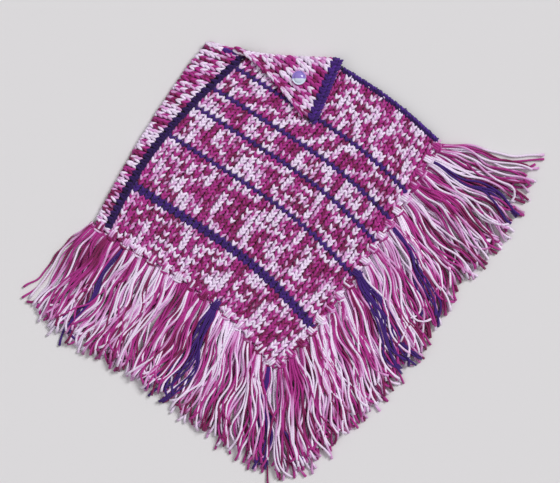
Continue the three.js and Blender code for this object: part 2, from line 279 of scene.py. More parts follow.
class StageSettings(bpy.types.PropertyGroup):
    """The floor, the lights and the camera."""

    floor: FloatVectorProperty(
        name="Floor", description="Colour of the floor", default=linear(222, 220, 222), subtype="COLOR"
    )
    height: FloatProperty(
        name="Camera height", description="Height of the camera over the floor", default=1.72, unit="LENGTH"
    )
    lens: FloatProperty(name="Lens", description="Focal length of the camera", default=85, unit="CAMERA")


# Curves, each a function of an array of shares of its length


def unit(ways):
    return ways / np.maximum(np.linalg.norm(ways, axis=-1, keepdims=True), TINY)


def straight(start, end):
    start, end = np.array(start, float), np.array(end, float)
    return lambda k: start + (end - start) * np.asarray(k, float)[..., None]


def bowed(start, end, out, widest):
    """A curve that bows out to the right of the way from start to end."""
    start, end = np.array(start, float), np.array(end, float)
    way = unit(end - start)
    right = np.array([way[1], -way[0]])
    power = math.log(0.5) / math.log(widest)

    def curve(k):
        k = np.asarray(k, float)[..., None]
        return start + (end - start) * k + right * out * np.sin(math.pi * np.clip(k, 0, 1) ** power)

    return curve


def joined(*curves):
    """One curve from several, by their length."""
    lengths = [float(np.linalg.norm(curve(1.0) - curve(0.0))) for curve in curves]
    ends = np.cumsum(lengths) / sum(lengths)

    def curve(k):
        k = np.asarray(k, float)
        which = np.minimum(np.searchsorted(ends, k), len(curves) - 1)
        starts = np.concatenate([[0], ends[:-1]])[which]
        share = (k - starts) / (ends[which] - starts)
        every = np.stack([part(share) for part in curves])
        return np.take_along_axis(every, which[None, ..., None], 0)[0]

    return curve


def stretch(curve, start, end):
    return lambda k: curve(start + (end - start) * np.asarray(k, float))


def shifted(curve, by, step=0.01):
    """The curve moved to the right of its way."""

    def moved(k):
        k = np.asarray(k, float)
        near = np.clip(k, 0, 1)
        way = unit(curve(np.minimum(near + step, 1)) - curve(np.maximum(near - step, 0)))
        return curve(k) + np.stack([way[..., 1], -way[..., 0]], -1) * by

    return moved


def patch(left, right, hem, top, pull=(0, 0, 0, 0)):
    """Fills in a patch between four edges, pulled in from left, right, hem and top by a distance."""
    corners = [hem(0.0), hem(1.0), top(0.0), top(1.0)]

    def filled(x, y):
        x, y = np.broadcast_arrays(np.asarray(x, float), np.asarray(y, float))
        a, b = x[..., None], y[..., None]
        edges = hem(x) * (1 - b) + top(x) * b + left(y) * (1 - a) + right(y) * a
        low = corners[0] * (1 - a) + corners[1] * a
        high = corners[2] * (1 - a) + corners[3] * a
        return edges - low * (1 - b) - high * b

    def place(x, y):
        wide = np.linalg.norm(right(y) - left(y), axis=-1)
        long = np.linalg.norm(top(x) - hem(x), axis=-1)
        return filled(
            (pull[0] + x * (wide - pull[0] - pull[1])) / wide,
            (pull[2] + y * (long - pull[2] - pull[3])) / long,
        )

    return place


left_hem = bowed(FOLD_HEM, HEM_POINT, -17, 0.6)
right_hem = bowed(HEM_POINT, RIGHT_CORNER, 14, 0.4)
shoulder = bowed(COLLAR_CORNER, RIGHT_CORNER, -5, 0.5)
fold_edge = bowed(FOLD_HEM, FOLD_TOP, -6, 0.5)
seam = bowed(left_hem(SEAM_IN_HEM), SEAM_TOP, -18, 0.47)
seam_length = float(np.linalg.norm(seam(1.0) - seam(0.0)))
lapel_fold = bowed(LAPEL_FOLD_LEFT, LAPEL_FOLD_RIGHT, 4, 0.35)
lapel_side = bowed(LAPEL_FOLD_LEFT, LAPEL_TIP_LEFT, -8, 0.4)
lapel_end = straight(LAPEL_FOLD_RIGHT, LAPEL_TIP_RIGHT)
fold_way = unit(np.subtract(LAPEL_FOLD_RIGHT, LAPEL_FOLD_LEFT))
lapel_down = np.array([fold_way[1], -fold_way[0]])


def neck_edge(start, shares, inside):
    """The neck edge of a panel: from its corner, then at a distance inside shares of the lapel's fold."""
    edge = [lapel_fold(k) + lapel_down * inside for k in shares]
    return [np.array(start, float), *edge, np.array(COLLAR_CORNER, float)]


def links(corners):
    return [straight(a, b) for a, b in zip(corners[:-1], corners[1:])]


def lift(place):
    """How far the front panel lifts off the back panel."""
    rise = np.zeros(place.shape[:-1])
    for swell in SWELLS:
        away = np.hypot(place[..., 0] - swell["x"], place[..., 1] - swell["y"]) / swell["reach"]
        rise += swell["height"] * np.exp(-away * away)
    return rise


def raised(place, z):
    z = np.broadcast_to(z, place.shape[:-1])
    return np.concatenate([place, z[..., None]], -1)


def inside(points, outline):
    """Whether each point is inside a closed outline."""
    x, y = points[..., 0], points[..., 1]
    found = np.zeros(x.shape, bool)
    for (x1, y1), (x2, y2) in zip(outline, np.roll(outline, -1, axis=0)):
        crosses = (y1 > y) != (y2 > y)
        rise = y2 - y1 if abs(y2 - y1) > TINY else TINY
        found ^= crosses & (x < (x2 - x1) * (y - y1) / rise + x1)
    return found


# Skins: the outer face of the cloth, as a function of columns and rows

FOLD_OUTER = LAYER / 2 + HALF
UNDER_FACE = 1.45  # the stitches of the underside bulge this far down, to the table

front_top = joined(*links(neck_edge(SEAM_TOP, (0.35, 1.0), CLOTH + GAP * 2)), shoulder)
front_wall = patch(
    seam, right_hem, stretch(left_hem, SEAM_IN_HEM, 1), front_top, (EDGE + GAP, EDGE, EDGE, EDGE)
)
seam_side = shifted(seam, SEAM_ROOM)
front_grid = patch(
    joined(seam_side, straight(seam_side(1.0), GRID_CORNER)),
    right_hem,
    stretch(left_hem, SEAM_IN_HEM + 0.01, 1),
    joined(straight(GRID_CORNER, COLLAR_CORNER), shoulder),
)
back_neck = neck_edge(NECK_CORNER, (0.0, 0.35, 1.0), ROLL_OUTER + LAPEL_LEG + GAP)
back_top = joined(straight(FOLD_TOP, NECK_CORNER), *links(back_neck), shoulder)
back_wall = patch(fold_edge, right_hem, left_hem, back_top, (FOLD_OUTER, EDGE, EDGE, EDGE))


def front_skin(knit):
    """The front panel: columns from the seam to the right hem, rows from the left hem up."""

    def skin(u, v):
        place = front_grid(u / knit.columns, v / knit.rows)
        return raised(place, LAYER + CLOTH + lift(place))

    return skin


def row_pitch(knit):
    return float(np.linalg.norm(np.subtract(RIGHT_CORNER, HEM_POINT))) / knit.rows


def under_rows(knit):
    """How many rows of the back panel lie under the front panel."""
    return round(float(np.linalg.norm(left_hem(1.0) - left_hem(0.0))) / row_pitch(knit))


def under_skin(knit):
    """The back panel's underside: columns from the neck to the hem, rows from the right hem to the fold."""
    rows = under_rows(knit)

    def skin(u, v):
        return raised(back_wall(1 - v / rows, 1 - u / knit.columns), UNDER_FACE)

    return skin


def strip_skin(knit):
    """The wrapped strip: columns from the neck to the hem, rows rising to 0 at the seam."""
    pitch = row_pitch(knit) * STRIP_STRETCH

    def skin(u, v):
        u, v = np.broadcast_arrays(u, v)
        k = 1 - u / knit.columns
        start = seam(k)
        axis = back_wall(np.zeros(k.shape), k)
        way = unit(axis - start)
        wide = np.linalg.norm(axis - start, axis=-1)
        out = -v * pitch
        turn = np.clip((out - wide) / FOLD_OUTER, 0, math.pi)
        under = np.maximum(out - wide - FOLD_OUTER * math.pi, 0)
        along = np.minimum(out, wide) + FOLD_OUTER * np.sin(turn) - under
        z = FOLD_OUTER * (1 + np.cos(turn)) - SEAM_DIP * np.exp(-((out / 5) ** 2))
        return raised(start + way * along[..., None], z)

    return skin


def lapel_skin():
    """The lapel: columns from the fold to the tip, rows rising to 0 at the bound-off edge."""
    column = unit(np.subtract(LAPEL_TIP_RIGHT, LAPEL_FOLD_RIGHT)) * LAPEL_COLUMN_WIDTH
    row = LAPEL_ROW_PITCH * np.array(LAPEL_ROW)
    length = float(np.linalg.norm(np.subtract(LAPEL_FOLD_RIGHT, LAPEL_FOLD_LEFT)))
    start = np.array(LAPEL_FOLD_RIGHT) - row * 0.6

    def flat_place(u, v):
        u, v = np.broadcast_arrays(u, v)
        return start + column * u[..., None] + row * v[..., None]

    def skin(u, v):
        flat = flat_place(u, v)
        along = (flat - LAPEL_FOLD_LEFT) @ fold_way
        axis = lapel_fold(np.clip(along / length, 0, 1)) + lapel_down * ROLL_OUTER
        axis = axis + fold_way * (along - (axis - LAPEL_FOLD_LEFT) @ fold_way)[..., None]
        depth = (flat - axis) @ lapel_down
        turn = np.clip(-depth / ROLL_OUTER, 0, math.pi)
        under = np.maximum(-depth - ROLL_OUTER * math.pi, 0)
        rolled = axis - lapel_down * (ROLL_OUTER * np.sin(turn) - under)[..., None]
        place = np.where((depth > 0)[..., None], flat, rolled)
        top = LAYER * 2 + CLOTH + lift(np.where((depth > 0)[..., None], flat, axis))
        return raised(place, top * (0.5 + 0.5 * np.cos(turn)))

    return skin, flat_place


def ribbon(curve, loops, width, height):
    """A strip one column wide along a curve, with its outer face at a height."""
    step = 0.3

    def skin(u, v):
        u, v = np.broadcast_arrays(u, v)
        middle = curve(v / loops)
        way = unit(curve((v + step) / loops) - curve((v - step) / loops))
        side = np.stack([way[..., 1], -way[..., 0]], -1)
        place = middle + side * ((u - 0.5) * width)[..., None]
        return raised(place, height(middle) if callable(height) else height)

    return skin


def on_skin(skin, u, v, height):
    """Points at a height over a skin, and the skin's outward ways there."""
    step = 0.05
    across = skin(u + step, v) - skin(u - step, v)
    along = skin(u, v + step) - skin(u, v - step)
    out = unit(np.cross(across, along))
    return skin(u, v) + out * np.broadcast_to(height, out.shape[:-1])[..., None], out


# Yarn colours


def dye_table(dyes):
    """The yarn's colour at every millimetre of one repeat, with soft changes."""
    runs = np.concatenate([np.tile(getattr(dyes, run["dye"]), (run["length"], 1)) for run in YARN_RUNS])
    return np.mean([np.roll(runs, by, axis=0) for by in range(-DYE_BLEED // 2, DYE_BLEED // 2 + 1)], axis=0)


def dye_middle(dye):
    """The middle of the first run of a dye, in mm along the yarn."""
    along = 0
    for run in YARN_RUNS:
        if run["dye"] == dye:
            return along + run["length"] / 2
        along += run["length"]
    raise ValueError(f"The yarn has no run of {dye}.")


def yarn_colour(table, along):
    """The yarn's colour at a distance along it, in mm."""
    return table[np.floor(along).astype(int) % len(table)]


def patches(columns, rows, rng):
    """A smooth uneven field over the stitches of a panel."""
    knots = rng.normal(0, 1, (columns // PATCH_STITCHES + 2, rows // PATCH_STITCHES + 2))
    i, j = np.arange(columns) / PATCH_STITCHES, np.arange(rows) / PATCH_STITCHES
    across = np.stack([np.interp(i, np.arange(len(knots)), line) for line in knots.T])
    return np.stack([np.interp(j, np.arange(len(across)), line) for line in across.T])


def yarn_place(columns, rows, rng):
    """How far along the yarn each stitch of a panel begins, by column and row."""
    row_slack = np.cumsum(rng.normal(0, ROW_SLACK, rows))
    begins = np.arange(columns)[:, None] * YARN_IN_STITCH + row_slack
    begins = begins + PATCH_SLACK * patches(columns, rows, rng) + rng.normal(0, 6, begins.shape)
    begins[:, 1::2] += 55 * np.maximum(patches(columns, rows, rng) + 0.2, 0)[:, 1::2]
    off = rng.uniform(size=begins.shape) < SPECKLE
    return begins + off * rng.uniform(-110, 110, begins.shape)


def stitch_shades(begins, rows, table):
    """The yarn's colour at each ring of the two legs of each stitch."""
    rising = np.linspace(0, 0.42, len(LEG))
    share = np.stack([rising, 1 - rising])[:, None, :]
    share = np.where((rows % 2 == 1)[None, :, None], 1 - share, share)
    return yarn_colour(table, begins[None, :, None] + share * YARN_IN_STITCH)


def plain_shades(count, colour, rng, spread=0.14):
    """One colour for the legs of stitches, a little lighter or darker from stitch to stitch."""
    return np.tile(colour, (2, count, len(LEG), 1)) * rng.normal(1, spread, (2, count, 1, 1))


# Meshes


def new_piece(name, points, faces, material, colours=None, uvs=None, domain="POINT"):
    """A mesh object from points in mm, with its yarn colours and its UV map."""
    mesh = bpy.data.meshes.new(name)
    mesh.from_pydata(np.asarray(points) * MM, [], faces)
    mesh.polygons.foreach_set("use_smooth", np.ones(len(mesh.polygons), bool))
    if colours is not None:
        attribute = mesh.color_attributes.new(name="yarn", type="FLOAT_COLOR", domain=domain)
        full = np.concatenate([colours, np.ones((len(colours), 1))], 1)
        attribute.data.foreach_set("color", full.astype(np.float32).ravel())
    if uvs is not None:
        mesh.uv_layers.new(name="UVMap").data.foreach_set("uv", np.asarray(uvs, np.float32).ravel())
    mesh.materials.append(material)
    mesh.update()
    piece = bpy.data.objects.new(name, mesh)
    bpy.context.scene.collection.objects.link(piece)
    return piece


def tubes(name, batches, sides, material):
    """One piece of many closed tubes. A batch has paths, outward ways, radii and colours, ring by ring."""
    points, faces, colours, uvs = [], [], [], []
    start = 0
    turns = TAU * (np.arange(sides) + 0.5) / sides
    for batch in batches:
        paths, radii = batch["paths"], batch["radii"]
        count, rings = paths.shape[:2]
        way = unit(np.gradient(paths, axis=1))
        side = unit(np.cross(way, batch["ups"]))
        up = np.cross(side, way)
        spokes = (
            np.cos(turns)[:, None] * side[:, :, None, :] + np.sin(turns)[:, None] * up[:, :, None, :]
        )
        points.append((paths[:, :, None, :] + spokes * radii[..., None, None]).reshape(-1, 3))
        colours.append(np.repeat(batch["colours"].reshape(-1, 3), sides, axis=0))

        ring, j = np.meshgrid(np.arange(rings - 1), np.arange(sides), indexing="ij")
        after = (j + 1) % sides
        quad = np.stack(
            [ring * sides + j, ring * sides + after, (ring + 1) * sides + after, (ring + 1) * sides + j], -1
        ).reshape(-1, 4)
        ends = np.stack([np.arange(sides)[::-1], (rings - 1) * sides + np.arange(sides)])
        first = start + np.arange(count)[:, None, None] * rings * sides
        faces += (first + quad).reshape(-1, 4).tolist() + (first + ends).reshape(-1, sides).tolist()
        start += count * rings * sides

        steps = np.linalg.norm(np.diff(paths, axis=1), axis=2)
        along = np.concatenate([np.zeros((count, 1)), np.cumsum(steps, axis=1)], 1) / 10
        low, high = along[:, :-1], along[:, 1:]
        rows = np.stack([low, low, high, high], -1)[:, :, None, :].repeat(sides, axis=2)
        around = np.stack([j, j + 1, j + 1, j], -1)[None] / sides
        uvs.append(np.stack([rows, np.broadcast_to(around, rows.shape)], -1).reshape(-1, 2))
        caps = np.stack([along[:, [0, -1]].repeat(sides, axis=1), np.full((count, 2 * sides), 0.5)], -1)
        uvs.append(caps.reshape(-1, 2))
    return new_piece(
        name, np.concatenate(points), faces, material, np.concatenate(colours), np.concatenate(uvs)
    )


def legs(skin, cells, shades, knit, rng, size=1.0):
    """A batch of tubes: the two legs of each stitch (column, row)."""
    profile = {key: np.array([ring[key] for ring in LEG]) for key in LEG[0]}
    yarn = knit.yarn / MM * size
    batch = {"paths": [], "ups": [], "radii": []}
    for side in (-1, 1):
        off_column = rng.normal(0, knit.unevenness / MM / 8, (len(cells), 1))
        off_row = rng.normal(0, knit.unevenness / MM / 6, (len(cells), 1))
        u = cells[:, :1] + 0.5 + side * profile["across"] + off_column
        v = cells[:, 1:] + 0.5 + profile["along"] + off_row
        height = profile["height"] * size + rng.normal(0, 0.12, (len(cells), 1))
        radii = profile["radius"] * yarn / 2 * rng.normal(1, 0.04, (len(cells), 1))
        path, out = on_skin(skin, u, v, height)
        path[..., 2] = np.maximum(path[..., 2], radii)
        batch["paths"].append(path)
        batch["ups"].append(out)
        batch["radii"].append(radii)
    made = {key: np.concatenate(parts) for key, parts in batch.items()}
    uneven = rng.normal(1, 0.05, (2, len(cells), 1, 1))
    made["colours"] = np.clip(shades * uneven, 0, 1).reshape(*made["radii"].shape, 3)
    return made


def wall(name, middle, outward, inner, outer, uv, cell_colours, material):
    """A closed wall with rounded edges round a grid of middle points (rows, columns, 3)."""
    m, n = middle.shape[:2]
    inner = np.broadcast_to(inner, (m, n))[..., None]
    outer = np.broadcast_to(outer, (m, n))[..., None]
    faces_of = {"out": middle + outward * outer, "in": middle - outward * inner}
    border = [(0, j) for j in range(n)] + [(i, n - 1) for i in range(1, m)]
    border += [(m - 1, j) for j in range(n - 2, -1, -1)] + [(i, 0) for i in range(m - 2, 0, -1)]
    bi, bj = np.array(border).T
    ii, jj = np.clip(bi, 1, m - 2), np.clip(bj, 1, n - 2)
    nose = middle[bi, bj] + unit(middle[bi, bj] - middle[ii, jj]) * HALF * 0.7
    points = np.concatenate([faces_of["out"].reshape(-1, 3), faces_of["in"].reshape(-1, 3), nose])

    i, j = np.meshgrid(np.arange(m - 1), np.arange(n - 1), indexing="ij")
    a, b, c, d = i * n + j, i * n + j + 1, (i + 1) * n + j + 1, (i + 1) * n + j
    top = np.stack([a, b, c, d], -1).reshape(-1, 4)
    low = top[:, ::-1] + m * n
    rim = bi * n + bj
    turn = np.roll(np.arange(len(rim)), -1)
    nose_at = 2 * m * n + np.arange(len(rim))
    upper = np.stack([rim[turn], rim, nose_at, nose_at[turn]], -1)
    lower = np.stack([nose_at[turn], nose_at, rim + m * n, rim[turn] + m * n], -1)
    faces = np.concatenate([top, low, upper, lower])

    flat_uv = uv.reshape(-1, 2)
    corner_uv = np.concatenate([flat_uv, flat_uv, flat_uv[rim]])[faces]
    shades = cell_colours.reshape(-1, 3)
    near = np.minimum(bi, m - 2) * (n - 1) + np.minimum(bj, n - 2)
    face_shades = np.concatenate([shades, shades, shades[near], shades[near]])
    first = points[faces[:, 0]]
    volume = np.einsum("ij,ij->i", first, np.cross(points[faces[:, 1]], points[faces[:, 2]])).sum()
    if volume < 0:
        faces, corner_uv = faces[:, ::-1], corner_uv[:, ::-1]
    return new_piece(
        name, points, faces.tolist(), material, face_shades.repeat(4, axis=0), corner_uv, "CORNER"
    )


# Materials


def node_material(name):
    material = bpy.data.materials.new(name)
    material.use_nodes = True
    nodes = material.node_tree.nodes
    return material, nodes, material.node_tree.links, nodes["Principled BSDF"]


def math_node(nodes, links, operation, first, second=None):
    node = nodes.new("ShaderNodeMath")
    node.operation = operation
    for socket, value in zip(node.inputs, (first, second)):
        if isinstance(value, (int, float)):
            socket.default_value = value
        elif value is not None:
            links.new(value, socket)
    return node.outputs[0]


def yarn_material():
    """Worsted yarn: dyed along its length, with twisted plies and fine fibres."""
    found = bpy.data.materials.get("worsted_yarn")
    if found:
        return found
    material, nodes, links, shader = node_material("worsted_yarn")
    shader.inputs["Roughness"].default_value = 0.78
    shader.inputs["Sheen Weight"].default_value = 0.22
    shader.inputs["Sheen Roughness"].default_value = 0.45
    shader.inputs["Specular IOR Level"].default_value = 0.25
    dye = nodes.new("ShaderNodeAttribute")
    dye.attribute_name = "yarn"
    uv = nodes.new("ShaderNodeUVMap")
    uv.uv_map = "UVMap"
    split = nodes.new("ShaderNodeSeparateXYZ")
    links.new(uv.outputs[0], split.inputs[0])
    along = math_node(nodes, links, "MULTIPLY", split.outputs[0], 2.6)
    around = math_node(nodes, links, "MULTIPLY", split.outputs[1], 3)
    twist = math_node(nodes, links, "ADD", along, around)
    ply = math_node(nodes, links, "SINE", math_node(nodes, links, "MULTIPLY", twist, TAU))
    place = nodes.new("ShaderNodeTexCoord")
    fibre = nodes.new("ShaderNodeTexNoise")
    fibre.inputs["Scale"].default_value = 1400
    fibre.inputs["Detail"].default_value = 3
    links.new(place.outputs["Object"], fibre.inputs["Vector"])
    relief = math_node(
        nodes, links, "ADD", math_node(nodes, links, "MULTIPLY", ply, 0.5), fibre.outputs["Fac"]
    )
    bump = nodes.new("ShaderNodeBump")
    bump.inputs["Strength"].default_value = 0.45
    bump.inputs["Distance"].default_value = 0.35 * MM
    links.new(relief, bump.inputs["Height"])
    links.new(bump.outputs[0], shader.inputs["Normal"])
    mottle = nodes.new("ShaderNodeTexNoise")
    mottle.inputs["Scale"].default_value = 420
    mottle.inputs["Detail"].default_value = 2
    links.new(place.outputs["Object"], mottle.inputs["Vector"])
    shade = math_node(
        nodes, links, "ADD", math_node(nodes, links, "MULTIPLY", mottle.outputs["Fac"], 0.3), 0.85
    )
    tint = nodes.new("ShaderNodeMix")
    tint.data_type = "RGBA"
    tint.blend_type = "MULTIPLY"
    tint.inputs["Factor"].default_value = 1
    links.new(dye.outputs["Color"], tint.inputs["A"])
    links.new(shade, tint.inputs["B"])
    links.new(tint.outputs["Result"], shader.inputs["Base Color"])
    return material


def cloth_material():
    """Stocking stitch in low relief, with painted shade in its valleys, for the faces of the cloth behind the
    modelled stitches.
    """
    found = bpy.data.materials.get("stocking_stitch")
    if found:
        return found
    material, nodes, links, shader = node_material("stocking_stitch")
    shader.inputs["Roughness"].default_value = 0.85
    shader.inputs["Sheen Weight"].default_value = 0.15
    shader.inputs["Specular IOR Level"].default_value = 0.2
    dye = nodes.new("ShaderNodeAttribute")
    dye.attribute_name = "yarn"
    uv = nodes.new("ShaderNodeUVMap")
    uv.uv_map = "UVMap"
    split = nodes.new("ShaderNodeSeparateXYZ")
    links.new(uv.outputs[0], split.inputs[0])
    column = math_node(nodes, links, "FRACT", split.outputs[0])
    off_middle = math_node(nodes, links, "ABSOLUTE", math_node(nodes, links, "SUBTRACT", column, 0.5))
    slant = math_node(nodes, links, "MULTIPLY", off_middle, 1.9)
    phase = math_node(nodes, links, "SUBTRACT", split.outputs[1], slant)
    wave = math_node(nodes, links, "SINE", math_node(nodes, links, "MULTIPLY", phase, math.pi))
    grain = math_node(nodes, links, "POWER", math_node(nodes, links, "ABSOLUTE", wave), 0.6)
    valley = math_node(nodes, links, "SINE", math_node(nodes, links, "MULTIPLY", off_middle, TAU))
    ridge = math_node(nodes, links, "POWER", math_node(nodes, links, "ABSOLUTE", valley), 0.5)
    height = math_node(nodes, links, "MULTIPLY", grain, ridge)
    bump = nodes.new("ShaderNodeBump")
    bump.inputs["Strength"].default_value = 0.9
    bump.inputs["Distance"].default_value = 1.6 * MM
    links.new(height, bump.inputs["Height"])
    links.new(bump.outputs[0], shader.inputs["Normal"])
    # Painted shade: the dye is darkened where the relief is low, in the valleys between the legs of the stitches.
    shade = math_node(nodes, links, "ADD", math_node(nodes, links, "MULTIPLY", height, 0.75), 0.22)
    tint = nodes.new("ShaderNodeMix")
    tint.data_type = "RGBA"
    tint.blend_type = "MULTIPLY"
    tint.inputs["Factor"].default_value = 1
    links.new(dye.outputs["Color"], tint.inputs["A"])
    links.new(shade, tint.inputs["B"])
    links.new(tint.outputs["Result"], shader.inputs["Base Color"])
    return material


def button_material(dyes):
    """Moulded plastic, lavender above and pale below, with a faint cloudiness."""
    material, nodes, links, shader = node_material("two_tone_plastic")
    shader.inputs["Roughness"].default_value = 0.22
    shader.inputs["Coat Weight"].default_value = 0.4
    shader.inputs["Coat Roughness"].default_value = 0.1
    place = nodes.new("ShaderNodeTexCoord")
    split = nodes.new("ShaderNodeSeparateXYZ")
    links.new(place.outputs["Object"], split.inputs[0])
    above = math_node(nodes, links, "SUBTRACT", split.outputs[1], (BUTTON_PLACE[1] - 1) * MM)
    step = nodes.new("ShaderNodeMapRange")
    step.inputs["From Min"].default_value = -0.3 * MM
    step.inputs["From Max"].default_value = 0.3 * MM
    links.new(above, step.inputs["Value"])
    cloud = nodes.new("ShaderNodeTexNoise")
    cloud.inputs["Scale"].default_value = 350
    links.new(place.outputs["Object"], cloud.inputs["Vector"])
    tones = nodes.new("ShaderNodeMix")
    tones.data_type = "RGBA"
    links.new(step.outputs["Result"], tones.inputs["Factor"])
    tones.inputs["A"].default_value = (*dyes.button_foot, 1)
    tones.inputs["B"].default_value = (*dyes.button_top, 1)
    shade = math_node(
        nodes, links, "ADD", math_node(nodes, links, "MULTIPLY", cloud.outputs["Fac"], 0.2), 0.88
    )
    tint = nodes.new("ShaderNodeMix")
    tint.data_type = "RGBA"
    tint.blend_type = "MULTIPLY"
    tint.inputs["Factor"].default_value = 1
    links.new(tones.outputs["Result"], tint.inputs["A"])
    links.new(shade, tint.inputs["B"])
    links.new(tint.outputs["Result"], shader.inputs["Base Color"])
    return material


def floor_material(colour):
    material, nodes, links, shader = node_material("pale_floor")
    shader.inputs["Base Color"].default_value = (*colour, 1)
    shader.inputs["Roughness"].default_value = 0.9
    return material


def finish(piece):
    """A piece rides on the poncho: it is parented to the poncho's root."""
    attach(piece, "root")
    return piece


# Pieces


def stitch_cells(columns, rows):
    column, row = np.meshgrid(columns, rows, indexing="ij")
    return np.stack([column.ravel(), row.ravel()], 1)


def front_cells(knit):
    """The front panel's stitches (column, row) that lie inside its outline, and whether they show."""
    cells = stitch_cells(np.arange(knit.columns), np.arange(knit.rows))
    place = front_grid((cells[:, 0] + 0.5) / knit.columns, (cells[:, 1] + 0.5) / knit.rows)
    neck = np.array(neck_edge(SEAM_TOP, (0.35, 1.0), CLOTH + GAP * 2 + 3))
    limit = np.interp(place[:, 0], neck[:, 0], neck[:, 1])
    beyond = (place[:, 0] > neck[0, 0]) & (place[:, 0] < neck[-1, 0]) & (place[:, 1] > limit)
    return cells[~beyond], place[~beyond]


def is_stripe(rows, knit):
    return np.isin(rows, STRIPE_ROWS) | (rows >= knit.rows - 1)


def panel_shades(cells, knit, dyes, seed):
    """The colours of the legs of a panel's stitches (column, row), with painted shade on the last row."""
    rng = np.random.default_rng(seed)
    begins = yarn_place(knit.columns, knit.rows, rng)[cells[:, 0], cells[:, 1]]
    shades = stitch_shades(begins, cells[:, 1], dye_table(dyes))
    stripe = is_stripe(cells[:, 1], knit)[None, :, None, None]
    shades = np.where(stripe, plain_shades(len(cells), np.array(dyes.purple), rng), shades)
    # Painted shade: the last row, in the stripe colour, is darkened for the shade at the panel's end.
    shades[:, cells[:, 1] == knit.rows - 1] *= PURPLE_END_PAINTED_SHADE
    return shades


FRONT_SEED, BACK_SEED = 11, 23


def build_front_cloth(knit, dyes):
    cells, places = front_cells(knit)
    colours = panel_shades(cells, knit, dyes, FRONT_SEED).mean((0, 2))
    x, y = np.linspace(0, 1, knit.columns + 1), np.linspace(0, 1, knit.rows + 1)
    grid_y, grid_x = np.meshgrid(y, x, indexing="ij")
    place = front_wall(grid_x, grid_y)
    middle = raised(place, LAYER + HALF + lift(place))
    centres = (place[1:, 1:] + place[:-1, :-1]) / 2
    nearest = np.linalg.norm(centres.reshape(-1, 1, 2) - places[None], axis=2).argmin(1)
    uv = np.stack([grid_x * knit.columns, grid_y * knit.rows], -1)
    # Painted shade: the cloth's colours are darkened and reddened, as the cloth lies in the shade behind the
    # stitches.
    piece = wall(
        "front_cloth", middle, np.array([0, 0, 1.0]), WALL_IN, WALL_OUT, uv,
        colours[nearest] * PAINTED_GAP_SHADE, cloth_material(),
    )
    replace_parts(finish(piece), "front_panel")


def build_front_stitches(knit, dyes):
    cells, place = front_cells(knit)
    under = np.concatenate([
        raised(shifted(lapel_side, -8)(np.linspace(0.05, 1, 9)), 0)[:, :2],
        lapel_end(np.linspace(1, 0, 5)) + np.array([-9, 2]),
    ])
    shown = ~inside(place, under)
    cells = cells[shown]
    shades = panel_shades(cells, knit, dyes, FRONT_SEED)
    batch = legs(front_skin(knit), cells, shades, knit, np.random.default_rng(5))
    finish(tubes("front_stitches", [batch], 5, yarn_material()))


def build_back_cloth(knit, dyes):
    """The back panel: from the right hem under the front panel, round the fold and to the seam."""
    under, fold, strip = 56, 8, 4
    along = np.linspace(0, 1, knit.columns + 1)
    across = np.linspace(1, 0, under + 1)
    grid_k, grid_x = np.meshgrid(along, across, indexing="ij")
    place = back_wall(grid_x, grid_k)
    axis = back_wall(np.zeros(along.shape), along)
    ends = seam((EDGE + along * (seam_length - EDGE * 2)) / seam_length)
    inward = unit(ends - axis)
    lines = [raised(place, HALF)]
    ways = [np.broadcast_to([0, 0, -1.0], lines[0].shape)]
    turns = math.pi * np.arange(1, fold + 1) / fold
    s, c = np.sin(turns), np.cos(turns)
    radius = LAYER / 2
    flat = axis[:, None] - inward[:, None] * (radius * s)[:, None]
    lines.append(raised(flat, HALF + radius * (1 - c)))
    side = -inward[:, None] * s[:, None]
    ways.append(np.concatenate([side, np.broadcast_to(-c[:, None], (*side.shape[:2], 1))], -1))
    share = np.arange(1, strip + 1) / strip
    length = np.linalg.norm(ends - axis, axis=1) - EDGE
    flat = axis[:, None] + inward[:, None] * (length[:, None] * share)[..., None]
    lines.append(raised(flat, HALF + LAYER))
    ways.append(np.broadcast_to([0, 0, 1.0], lines[-1].shape))
    middle, outward = np.concatenate(lines, 1), np.concatenate(ways, 1)
    steps = np.linalg.norm(np.diff(middle, axis=1), axis=2)
    run = np.concatenate([np.cumsum(steps[:, ::-1], axis=1)[:, ::-1], np.zeros((len(along), 1))], 1)
    rows = knit.rows - run / row_pitch(knit)
    columns = np.broadcast_to(((1 - along) * knit.columns)[:, None], rows.shape)
    uv = np.stack([columns, rows], -1)
    row_at = np.clip((rows[1:, 1:] + rows[:-1, :-1]) / 2, 0, knit.rows - 1).astype(int)
    column_at = np.clip((columns[1:, 1:] + columns[:-1, :-1]) / 2, 0, knit.columns - 1).astype(int)
    cells = np.stack([column_at.ravel(), row_at.ravel()], 1)
    colours = panel_shades(cells, knit, dyes, BACK_SEED).mean((0, 2)).reshape(*row_at.shape, 3)
    # Painted shade: the cloth's colours are darkened and reddened, as the cloth lies in the shade behind the
    # stitches.
    piece = wall(
        "back_cloth", middle, outward, WALL_IN, WALL_OUT, uv, colours * PAINTED_GAP_SHADE, cloth_material()
    )
    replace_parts(finish(piece), "back_panel")


def build_under_stitches(knit, dyes):
    """The back panel's rows that lie on the table."""
    cells = stitch_cells(np.arange(knit.columns), np.arange(under_rows(knit)))
    shades = panel_shades(cells, knit, dyes, BACK_SEED)
    batch = legs(under_skin(knit), cells, shades, knit, np.random.default_rng(7))
    finish(tubes("under_stitches", [batch], 5, yarn_material()))


def build_strip_stitches(knit, dyes):
    """The back panel's last rows, which show in front between the fold and the seam."""
    rows = np.arange(-7, 0)
    cells = stitch_cells(np.arange(knit.columns), rows)
    skin = strip_skin(knit)
    cells = cells[skin(cells[:, 0] + 0.5, cells[:, 1] + 0.5)[:, 2] > 1.2]
    shades = panel_shades(cells + np.array([0, knit.rows]), knit, dyes, BACK_SEED)
    batch = legs(skin, cells, shades, knit, np.random.default_rng(6))
    finish(tubes("strip_stitches", [batch], 6, yarn_material()))


